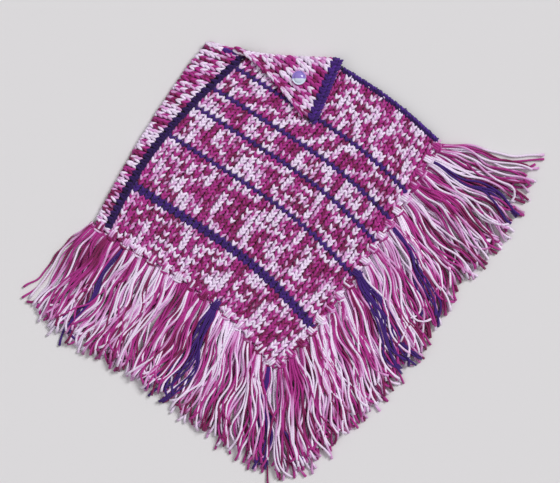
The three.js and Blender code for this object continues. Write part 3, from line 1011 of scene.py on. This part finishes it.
def build_lapel(knit, dyes):
    """The lapel: its wall, from under the neck edge round the roll to its tip, and its stitches."""
    across, flap, roll = 18, 14, 8
    wall_place = patch(
        lapel_side, lapel_end, lapel_fold, straight(LAPEL_TIP_LEFT, LAPEL_TIP_RIGHT), (EDGE, EDGE, 8.2, EDGE)
    )
    x = np.linspace(0, 1, across + 1)
    axis = wall_place(x, np.zeros(x.shape))
    top = LAYER * 2 + HALF + lift(axis)
    rise = ((top - HALF) / 2)[:, None]
    lines = [raised(axis + lapel_down * (LAPEL_LEG - HALF), HALF)[:, None]]
    ways = [np.broadcast_to([0, 0, -1.0], lines[0].shape)]
    turns = math.pi * np.arange(0, roll + 1) / roll
    s, c = np.sin(turns), np.cos(turns)
    flat = axis[:, None] - lapel_down * (ROLL_RADIUS * s)[:, None]
    lines.append(raised(flat, HALF + rise * (1 - c)))
    side = np.broadcast_to(-lapel_down * s[:, None], flat.shape)
    ways.append(np.concatenate([side, np.broadcast_to(-c[:, None], (*side.shape[:2], 1))], -1))
    grid_x, grid_y = np.meshgrid(x, np.arange(1, flap + 1) / flap, indexing="ij")
    flat = wall_place(grid_x, grid_y)
    lines.append(raised(flat, LAYER * 2 + HALF + lift(flat)))
    ways.append(np.broadcast_to([0, 0, 1.0], lines[-1].shape))
    middle, outward = np.concatenate(lines, 1), np.concatenate(ways, 1)
    uv = np.stack(np.meshgrid(x * 17, np.arange(middle.shape[1]), indexing="ij"), -1)
    table = dye_table(dyes)
    rng = np.random.default_rng(8)
    shades = yarn_colour(table, rng.uniform(0, len(table), (across, middle.shape[1] - 1)))
    # Painted shade: the cloth's colours are darkened and reddened, as the cloth lies in the shade behind the
    # stitches.
    cloth = wall(
        "lapel_cloth", middle, outward, WALL_IN, WALL_OUT, uv, shades * PAINTED_GAP_SHADE, cloth_material()
    )
    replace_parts(finish(cloth), "collar_flap")

    skin, flat_place = lapel_skin()
    cells = stitch_cells(np.arange(-4, 12), np.arange(-24, 0))
    flat = flat_place(cells[:, 0] + 0.5, cells[:, 1] + 0.5)
    up = -lapel_down * ROLL_OUTER * 2.4
    outline = np.concatenate([
        [np.array(LAPEL_FOLD_LEFT) + fold_way * 5 + up],
        shifted(lapel_side, -2.5)(np.linspace(0, 1, 12)),
        [np.array(LAPEL_TIP_RIGHT)],
        [np.array(LAPEL_FOLD_RIGHT)],
        [np.array(LAPEL_FOLD_RIGHT) + up],
    ])
    shown = inside(flat, outline)
    cells, flat = cells[shown], flat[shown]
    begins = yarn_place(16, 24, rng)[cells[:, 0] + 4, cells[:, 1] + 24]
    for x, y, reach, dye in LAPEL_PATCHES:
        near = (np.hypot(*(flat - (x, y)).T) < reach) & (rng.uniform(size=len(flat)) < 0.8)
        begins = np.where(near, dye_middle(dye) - YARN_IN_STITCH / 2 + rng.normal(0, 9, len(flat)), begins)
    shades = stitch_shades(begins, cells[:, 1], table)
    ends = (cells[:, 1] >= -1)[None, :, None, None]
    shades = np.where(ends, plain_shades(len(cells), np.array(dyes.purple), rng), shades)
    batch = legs(skin, cells, shades, knit, rng, 1.15)
    finish(tubes("lapel_stitches", [batch], 6, yarn_material()))


def curve_length(curve):
    points = curve(np.linspace(0, 1, 200))
    return float(np.linalg.norm(np.diff(points, axis=0), axis=1).sum())


def chain(curve, height, knit, rng, table=None, colour=None, width=None, size=0.95):
    """A batch of tubes: a chain of loops along a curve, of a yarn or of one colour."""
    loops = max(2, round(curve_length(curve) / (knit.chain_pitch / MM)))
    cells = stitch_cells([0], np.arange(loops))
    skin = ribbon(curve, loops, width or knit.chain_width / MM, height)
    if colour is None:
        begins = rng.uniform(0, len(table)) + np.arange(loops) * YARN_IN_STITCH * 0.8
        shades = stitch_shades(begins + rng.normal(0, 10, loops), cells[:, 1], table)
    else:
        shades = plain_shades(loops, colour, rng)
    return legs(skin, cells, shades, knit, rng, size)


def rope(curve, height, pitch, width, radius, colour, rng, cover=1.5):
    """A batch of tubes: slanting links along a curve, each over a number of pitches."""
    links_in = max(2, round(curve_length(curve) / pitch))
    skin = ribbon(curve, links_in, width, height)
    t = np.linspace(0, 1, 6)
    v = np.arange(links_in)[:, None] + 0.5 + (t - 0.5) * cover + rng.normal(0, 0.08, (links_in, 1))
    bulge = radius * (0.9 * np.sin(math.pi * t) - 0.7) + rng.normal(0, 0.15, (links_in, 1))
    path, out = on_skin(skin, t + np.zeros((links_in, 1)), v, bulge)
    shades = np.tile(colour, (links_in, len(t), 1)) * rng.normal(1, 0.16, (links_in, 1, 1))
    profile = np.array([0.4, 0.9, 1.05, 1.05, 0.9, 0.4])
    return {
        "paths": path,
        "ups": out,
        "radii": radius * profile * rng.normal(1, 0.05, (links_in, 1)),
        "colours": np.clip(shades, 0, 1),
    }


def build_edges(knit, dyes):
    """The edges: bound off in the stripe colour at the panels' ends, chains along their sides."""
    table, purple, white = dye_table(dyes), np.array(dyes.purple), np.array(dyes.white)
    rng = np.random.default_rng(9)
    top = LAYER + CLOTH

    def on_front(place):
        return top + lift(place) - 0.2

    def on_lapel(place):
        return LAYER * 2 + CLOTH + lift(place) + 0.4

    def droop(place):
        away = np.linalg.norm(place - np.array(LAPEL_FOLD_LEFT), axis=-1) / 9
        return 2.6 * np.exp(-away * away)

    def over_lapel(place):
        return on_lapel(place) + 0.9 - droop(place)

    def on_fold(place):
        return 11.8 - droop(place)

    def under_front(place):
        return top + lift(place) - 0.9

    end = stretch(lapel_end, 0.02, 0.985)
    bound_off = [
        # Painted light: the shoulder's rope is a lightened purple for the light on its raised links.
        rope(shifted(shoulder, 1.0), on_front, 4.6, 4.0, 1.6, purple * 1.3, rng),
        # Painted shadow: this chain's purple is darkened for the shade beside the shoulder's rope.
        chain(shifted(shoulder, 4.4), under_front, knit, rng, colour=purple * 0.5, width=5.5, size=0.9),
        # Painted shade: the seam's chain is darkened for the shade in the dip where it lies.
        chain(
            shifted(stretch(seam, 0.01, 0.97), 1.4), top - SEAM_DIP, knit, rng, colour=purple * PURPLE_END_PAINTED_SHADE
        ),
        # Painted light: the lapel's ropes are a lightened purple for the light on their raised links.
        rope(shifted(end, 4.4), on_lapel, 5.0, 5.0, 1.9, purple * 1.15, rng),
        rope(shifted(end, -0.4), on_lapel, 4.6, 5.4, 2.0, purple * 1.1, rng),
    ]
    chains = [
        chain(shifted(stretch(lapel_side, 0.04, 0.97), -2.0), over_lapel, knit, rng, table, width=5.4),
        chain(shifted(stretch(lapel_fold, 0.03, 0.3), 2.6), on_fold, knit, rng, colour=white),
        chain(straight((-100, 282), (-79, 273.5)), 9.2, knit, rng, colour=white),
        chain(straight((-79, 274), (-60, 266.5)), 8.8, knit, rng, colour=purple),
        chain(straight((-99, 282.5), (-66, 273.5)), 3.2, knit, rng, table),
        chain(shifted(stretch(left_hem, 0.01, 1), -0.8), under_front, knit, rng, table),
        chain(shifted(right_hem, -0.6), under_front, knit, rng, table),
        rope(
            shifted(stretch(shoulder, 0.04, 0.96), 3.6), on_front, 13.0, 1.4, 0.8,
            white, rng, cover=0.3,
        ),
    ]
    finish(tubes("bound_off_edges", bound_off, 6, yarn_material()))
    finish(tubes("edge_chains", chains, 6, yarn_material()))


# Fringe


PILE_LIMIT = 15.0


class Pile:
    """The height of what lies outside the hems so far, on a grid of cells."""

    CELL = 1.5
    LOW = np.array([-380.0, -330.0])

    def __init__(self):
        self.top = np.zeros((520, 460))

    def cells(self, points, radius):
        reach = int(radius / self.CELL) + 1
        by = np.array([
            (i, j) for i in range(-reach, reach + 1) for j in range(-reach, reach + 1)
            if math.hypot(i, j) * self.CELL <= radius + 0.3
        ])
        at = np.round((points - self.LOW) / self.CELL).astype(int)
        return at[:, None, :] + by[None]

    def under(self, points, radius):
        at = self.cells(points, radius)
        return self.top[at[..., 0], at[..., 1]].max(1)

    def lay(self, points, height, radius):
        at = self.cells(points, radius * 0.8)
        values = np.broadcast_to(height[:, None], at.shape[:2])
        np.maximum.at(self.top, (at[..., 0].ravel(), at[..., 1].ravel()), values.ravel())


RINGS = 24  # of a strand
LOCKS = {"swing": 0.13, "count": 4.4, "phase": 0.1}  # tassels lean together in locks


def reading(table, at, name):
    """A table's value at a place between its rows."""
    return float(np.interp(at, [row["at"] for row in table], [row[name] for row in table]))


def strand_path(root, start, end, length, waves, curl, samples=97):
    """The line of a strand from above, at even steps."""
    t = np.linspace(0, 1, samples)
    heading = start + (end - start) * t * t * (3 - 2 * t)
    for wave in waves:
        ease = np.clip(t * 5, 0, 1)
        heading = heading + wave["swing"] * ease * np.sin(TAU * (wave["turns"] * t + wave["phase"]))
    heading = heading + curl * np.clip((t - 0.74) / 0.26, 0, 1) ** 1.5
    steps = np.stack([np.cos(heading), np.sin(heading)], 1) * length / (samples - 1)
    return root + np.concatenate([[np.zeros(2)], np.cumsum(steps[:-1], axis=0)])


def smoothed(values, reach):
    kernel = np.hanning(2 * reach + 3)[1:-1]
    padded = np.pad(values, reach, mode="edge")
    return np.convolve(padded, kernel / kernel.sum(), mode="valid")


def strand_heights(pile, points, radius, root_height, length):
    """A strand's height along its line: from its knot down on to what lies there."""
    lies = PILE_LIMIT * np.tanh(pile.under(points, radius * 0.7) / PILE_LIMIT) + radius
    widest = np.max([np.roll(lies, by) for by in (-2, -1, 0, 1, 2)], axis=0)
    widest[:2], widest[-2:] = lies[:2], lies[-2:]
    lies = np.maximum(smoothed(widest, 6), radius + 0.1)
    away = np.linspace(0, length, len(points))
    hang = radius + (root_height - radius) * np.exp(-away / 16)
    near = np.clip(away / 14, 0, 1)
    return np.maximum(hang, lies) * near + root_height * (1 - near)


def tassel(pile, hem, at, table, tones, layer, fringe, yarn_table, rng, purple, purple_share):
    """The strands, the knot and the loops of one tassel."""
    radius = fringe.strand / MM / 2
    front = layer == "front"
    count = fringe.front_strands if front else fringe.back_strands
    step = 0.01
    way = unit(hem(np.array(min(at + step, 1.0))) - hem(np.array(max(at - step, 0.0))))
    out = np.array([way[1], -way[0]])
    middle = hem(np.array(at)) + out * 2.0
    root_middle = 6.6 if front else 2.6
    lean = math.radians(reading(table, at, "start")) + rng.normal(0, 0.05)
    tail = math.radians(reading(table, at, "end")) + rng.normal(0, 0.07)
    tail += LOCKS["swing"] * math.sin(TAU * (LOCKS["count"] * at + LOCKS["phase"]))
    sway = {"swing": rng.uniform(0.14, 0.30), "turns": rng.uniform(1.0, 1.9), "phase": rng.uniform()}
    folded = rng.uniform(0, len(yarn_table), (count + 1) // 2)
    tone = tones[int(np.abs(np.array([place for place, dye in tones]) - at).argmin())][1]
    toned = rng.uniform(size=folded.shape) < TONE_SHARE
    folded = np.where(toned, dye_middle(tone) + rng.normal(0, 12, folded.shape), folded)
    order = rng.permutation(count)
    batch = {"paths": [], "colours": [], "radii": []}
    picks = np.linspace(0, 96, RINGS).round().astype(int)
    for j in order:
        share = (j + 0.5) / count - 0.5
        fan = fringe.spread * share
        root = middle + way * share * 10
        own = {"swing": rng.uniform(0.04, 0.20), "turns": rng.uniform(1.3, 2.6), "phase": rng.uniform()}
        kink = {"swing": rng.uniform(0.03, 0.17), "turns": rng.uniform(3.0, 4.6), "phase": rng.uniform()}
        stray = rng.normal(0, 0.30) if rng.uniform() < 0.11 else rng.normal(0, 0.06)
        curl = rng.normal(0, 0.9) if rng.uniform() < 0.3 else rng.normal(0, 0.3)
        length = reading(table, at, "length") * (1 + fringe.ragged * rng.uniform(-1.6, 0.7))
        line = strand_path(
            root, lean + fan * 0.8, tail + fan * 0.35 + stray, length, [sway, own, kink], curl
        )
        height = root_middle + rng.uniform(-1.2, 1.4)
        z = strand_heights(pile, line, radius, height, length)
        pile.lay(line[6:], z[6:] + radius * 0.35, radius)
        swell = np.ones(len(picks))
        swell[-2:] = (1.22, 1.28)
        batch["paths"].append(raised(line[picks], np.maximum(z[picks], radius * 1.05 * swell)))
        sign = 1 if j % 2 else -1
        along = folded[j // 2] + sign * np.linspace(-0.2, 0.8, len(picks)) * length / STRAND_RUN
        shade = yarn_colour(yarn_table, along)
        if abs(share * 2) < purple_share:
            shade = np.tile(purple, (len(picks), 1))
        batch["colours"].append(shade * rng.normal(1, 0.06))
        batch["radii"].append(radius * rng.uniform(0.88, 1.04) * swell)
    strands = {key: np.array(value) for key, value in batch.items()}
    strands["ups"] = np.broadcast_to([0, 0, 1.0], strands["paths"].shape)

    knot = {"paths": [], "colours": [], "radii": []}
    down = np.array([math.cos(lean), math.sin(lean)])
    side = np.array([down[1], -down[0]])
    for loop in range(2):
        turn = np.linspace(-0.15, 1.15, 9) * math.pi
        centre = middle + down * (2.0 + loop * 2.6)
        flat = centre + side * (np.cos(turn) * 5.9)[:, None] + down * (np.sin(turn) * 0.9)[:, None]
        z = root_middle - 2.2 + np.sin(turn) * (5.0 if front else 3.6)
        knot["paths"].append(raised(flat, np.maximum(z, radius)))
    for leg in (-1, 0, 1) if front else ():
        t = np.linspace(0, 1, 9)
        flat = middle + down * 3 + way * leg * 2.9 - out * (t * 11.5)[:, None]
        z = LAYER + CLOTH + 0.9 + 1.5 * np.sin(math.pi * np.clip(t * 1.1, 0, 1)) - 3.6 * t ** 4
        knot["paths"].append(raised(flat, z))
    count = len(knot["paths"])
    bases = folded[rng.integers(0, len(folded), count)]
    along = bases[:, None] + np.linspace(-8, 8, 9)
    shade = np.tile(purple, (count, 9, 1)) if purple_share > 0.6 else yarn_colour(yarn_table, along)
    knot["colours"] = shade * rng.normal(1, 0.05, (count, 1, 1))
    knot["paths"] = np.array(knot["paths"])
    knot["radii"] = np.full((count, 9), radius * 1.02)
    knot["ups"] = np.broadcast_to([0, 0.02, 1.0], knot["paths"].shape)
    for batch in (strands, knot):
        batch["colours"] = np.clip(batch["colours"], 0, 1)
    return strands, knot


def build_fringe(fringe, dyes):
    """Both fringes, laid strand by strand: the tassels of the back layer first."""
    yarn_table = dye_table(dyes)
    pile = Pile()
    hems = {
        "fringe_left": (left_hem, LEFT_FRINGE, LEFT_TONES, LEFT_PURPLE, 17),
        "fringe_right": (right_hem, RIGHT_FRINGE, RIGHT_TONES, RIGHT_PURPLE, 18),
    }
    made = {name: {"strands": [], "knots": []} for name in hems}
    for layer in ("back", "front"):
        for name, (hem, table, tones, purples, seed) in hems.items():
            rng = np.random.default_rng([seed, layer == "front"])
            points = hem(np.linspace(0, 1, 100))
            length = float(np.linalg.norm(np.diff(points, axis=0), axis=1).sum())
            count = round(length / (fringe.pitch / MM))
            places = (np.arange(count) + (0.5 if layer == "front" else 0.15)) / count
            dark = {int(np.abs(places - at).argmin()): share for at, share in purples.items()}
            for i in rng.permutation(count):
                share = dark.get(int(i), 0.0) if layer == "front" else 0.0
                strands, knot = tassel(
                    pile, hem, float(places[i]), table, tones, layer, fringe, yarn_table, rng,
                    np.array(dyes.purple), share,
                )
                made[name]["strands"].append(strands)
                made[name]["knots"].append(knot)
    for name, parts in made.items():
        piece = tubes(f"{name}_strands", parts["strands"], 6, yarn_material())
        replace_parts(finish(piece), name)
        finish(tubes(f"{name}_knots", parts["knots"], 6, yarn_material()))


# Button and stage


def edit_faces(piece, test):
    """Selects the faces of the piece in edit mode that pass a test."""
    mesh = bmesh.from_edit_mesh(piece.data)
    mesh.normal_update()
    for face in mesh.faces:
        face.select = test(face)
    bmesh.update_edit_mesh(piece.data)


def build_button(knit, dyes):
    """A domed round button on a short shank."""
    spots = np.array([[BUTTON_PLACE[0] + d, BUTTON_PLACE[1]] for d in (-2.4, 0, 2.4)])
    foot = LAYER * 2 + CLOTH + float(lift(spots).max()) + GAP
    base = (foot + BUTTON_STAND) * MM
    place = Vector((BUTTON_PLACE[0] * MM, BUTTON_PLACE[1] * MM, base + BUTTON_RIM / 2 * MM))
    bpy.ops.mesh.primitive_cylinder_add(
        vertices=48, radius=BUTTON_RADIUS * MM, depth=BUTTON_RIM * MM, location=place
    )
    piece = bpy.context.object
    piece.name = "button_disc"
    bpy.ops.object.transform_apply(location=True, rotation=True, scale=True)
    bpy.ops.object.mode_set(mode="EDIT")
    bpy.ops.mesh.select_mode(type="FACE")
    top = base + BUTTON_RIM * MM
    edit_faces(piece, lambda face: face.normal.z > 0.9)
    bpy.ops.mesh.inset(thickness=1.3 * MM, depth=0)
    bpy.ops.mesh.inset(thickness=0.5 * MM, depth=-0.7 * MM)
    bpy.ops.mesh.inset(thickness=0.6 * MM, depth=0.9 * MM)
    bpy.ops.mesh.inset(thickness=1.8 * MM, depth=1.2 * MM)
    bpy.ops.mesh.inset(thickness=2.2 * MM, depth=0.7 * MM)
    edit_faces(piece, lambda face: face.normal.z < -0.9)
    bpy.ops.mesh.inset(thickness=6.6 * MM, depth=0)
    bpy.ops.mesh.extrude_region_move(
        TRANSFORM_OT_translate={"value": (0, 0, -BUTTON_STAND * MM)}
    )
    bpy.ops.object.mode_set(mode="OBJECT")
    bevel = piece.modifiers.new("rounded", "BEVEL")
    bevel.width = 0.4 * MM
    bevel.segments = 3
    bevel.limit_method = "ANGLE"
    bevel.angle_limit = math.radians(30)
    bpy.ops.object.modifier_apply(modifier="rounded")
    bpy.ops.object.shade_smooth_by_angle(angle=math.radians(40))
    piece.data.materials.append(button_material(dyes))
    piece.select_set(False)
    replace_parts(finish(piece), "button")


def aim(thing, target):
    thing.rotation_euler = (Vector(target) - thing.location).to_track_quat("-Z", "Y").to_euler()


def build_stage(stage):
    """A pale floor, soft lights and the camera straight above."""
    bpy.ops.mesh.primitive_plane_add(size=6, location=(0, 0, -0.2 * MM))
    floor = bpy.context.object
    floor.name = "floor"
    floor.data.materials.append(floor_material(stage.floor))
    for name, place, softness, strength in (
        ("key", (1.1, 0.8, 1.3), 24, 2.3),
        ("fill", (-1.2, -0.5, 1.6), 60, 0.6),
    ):
        light = bpy.data.lights.new(name, "SUN")
        light.energy = strength
        light.angle = math.radians(softness)
        lamp = bpy.data.objects.new(name, light)
        lamp.location = place
        aim(lamp, (0, 0, 0))
        bpy.context.scene.collection.objects.link(lamp)
    world = bpy.data.worlds.new("studio")
    world.use_nodes = True
    background = world.node_tree.nodes["Background"]
    background.inputs["Color"].default_value = (1, 1, 1, 1)
    background.inputs["Strength"].default_value = 0.30
    bpy.context.scene.world = world
    bpy.context.scene.view_settings.view_transform = "Standard"

    camera = bpy.data.cameras.new("camera")
    camera.lens = stage.lens
    camera.sensor_width = 36
    seen_middle = (-4.5 * MM, 25 * MM)
    eye = bpy.data.objects.new("camera", camera)
    eye.location = (*seen_middle, stage.height)
    bpy.context.scene.collection.objects.link(eye)
    bpy.context.scene.camera = eye


# Operators


class PONCHO_OT_back_panel(bpy.types.Operator):
    """Build the back panel with its wrapped strip"""

    bl_idname = "poncho.back_panel"
    bl_label = "Back panel"

    def execute(self, context):
        build_back_cloth(context.scene.poncho_knit, context.scene.poncho_dye)
        build_under_stitches(context.scene.poncho_knit, context.scene.poncho_dye)
        build_strip_stitches(context.scene.poncho_knit, context.scene.poncho_dye)
        return {"FINISHED"}


class PONCHO_OT_front_panel(bpy.types.Operator):
    """Build the front panel and its stitches"""

    bl_idname = "poncho.front_panel"
    bl_label = "Front panel"

    def execute(self, context):
        build_front_cloth(context.scene.poncho_knit, context.scene.poncho_dye)
        build_front_stitches(context.scene.poncho_knit, context.scene.poncho_dye)
        return {"FINISHED"}


class PONCHO_OT_lapel(bpy.types.Operator):
    """Build the lapel that turns over the neck edge"""

    bl_idname = "poncho.lapel"
    bl_label = "Lapel"

    def execute(self, context):
        build_lapel(context.scene.poncho_knit, context.scene.poncho_dye)
        return {"FINISHED"}


class PONCHO_OT_edges(bpy.types.Operator):
    """Build the chains along the edges"""

    bl_idname = "poncho.edges"
    bl_label = "Edges"

    def execute(self, context):
        build_edges(context.scene.poncho_knit, context.scene.poncho_dye)
        return {"FINISHED"}


class PONCHO_OT_fringe(bpy.types.Operator):
    """Build the tassels along both hems"""

    bl_idname = "poncho.fringe"
    bl_label = "Fringe"

    def execute(self, context):
        build_fringe(context.scene.poncho_fringe, context.scene.poncho_dye)
        return {"FINISHED"}


class PONCHO_OT_button(bpy.types.Operator):
    """Build the button on the lapel"""

    bl_idname = "poncho.button"
    bl_label = "Button"

    def execute(self, context):
        build_button(context.scene.poncho_knit, context.scene.poncho_dye)
        return {"FINISHED"}


class PONCHO_OT_stage(bpy.types.Operator):
    """Set up the floor, the lights and the camera"""

    bl_idname = "poncho.stage"
    bl_label = "Stage"

    def execute(self, context):
        build_stage(context.scene.poncho_stage)
        return {"FINISHED"}


OPERATORS = (
    PONCHO_OT_back_panel,
    PONCHO_OT_front_panel,
    PONCHO_OT_lapel,
    PONCHO_OT_edges,
    PONCHO_OT_fringe,
    PONCHO_OT_button,
    PONCHO_OT_stage,
)


class PONCHO_PT_panel(bpy.types.Panel):
    """Lists the pieces of the poncho and their settings"""

    bl_idname = "PONCHO_PT_panel"
    bl_label = "Knitted Poncho"
    bl_space_type = "VIEW_3D"
    bl_region_type = "UI"
    bl_category = "Poncho"

    def draw(self, context):
        for name, kind in SETTINGS.items():
            box = self.layout.box()
            for prop in kind.__annotations__:
                box.prop(getattr(context.scene, name), prop)
        for operator in OPERATORS:
            self.layout.operator(operator.bl_idname)


SETTINGS = {
    "poncho_knit": KnitSettings,
    "poncho_fringe": FringeSettings,
    "poncho_dye": DyeSettings,
    "poncho_stage": StageSettings,
}
CLASSES = (*SETTINGS.values(), *OPERATORS, PONCHO_PT_panel)


def register():
    for kind in CLASSES:
        bpy.utils.register_class(kind)
    for name, kind in SETTINGS.items():
        setattr(bpy.types.Scene, name, PointerProperty(type=kind))


def unregister():
    for name in SETTINGS:
        delattr(bpy.types.Scene, name)
    for kind in reversed(CLASSES):
        bpy.utils.unregister_class(kind)


def main():
    register()
    bpy.ops.object.select_all(action="DESELECT")
    bpy.ops.poncho.back_panel()
    bpy.ops.poncho.front_panel()
    bpy.ops.poncho.lapel()
    bpy.ops.poncho.edges()
    bpy.ops.poncho.fringe()
    bpy.ops.poncho.button()
    bpy.ops.poncho.stage()
    bpy.context.view_layer.update()


if __name__ == "__main__":
    main()
